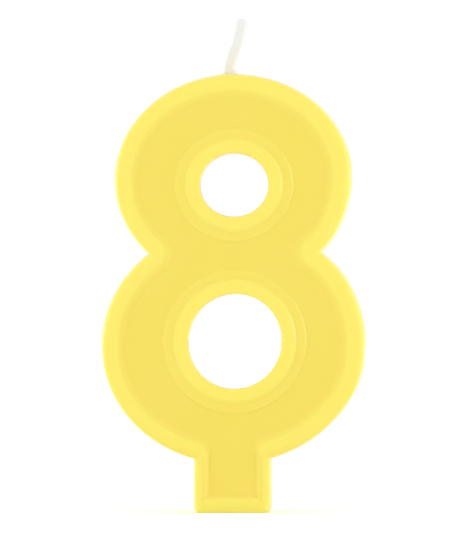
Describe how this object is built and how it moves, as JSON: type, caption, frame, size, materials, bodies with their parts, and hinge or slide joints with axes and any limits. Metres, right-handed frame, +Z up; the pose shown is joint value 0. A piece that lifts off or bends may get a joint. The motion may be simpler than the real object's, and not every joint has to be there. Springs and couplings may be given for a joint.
{
  "type": "number birthday candle",
  "caption": "Moulded wax number candle in the shape of the figure 8, with a raised border, a straight stem for the cake and a white wick.",
  "frame": {"origin": "middle of the stem's flat foot, at the bottom of the candle", "axes": "+Z up along the figure, +X to the figure's right as its front is read, -Y out of its front face"},
  "size_m": [0.0452, 0.012, 0.0845],
  "materials": {
    "yellow_wax": "smooth satin wax, slightly translucent",
    "white_wax": "thin priming wax over a braid",
    "cotton": "braided cotton cord"
  },
  "bodies": {
    "root": {"wax_body": "yellow_wax", "wick_wax_coat": "white_wax", "wick_core": "cotton"}
  },
  "joints": []
}
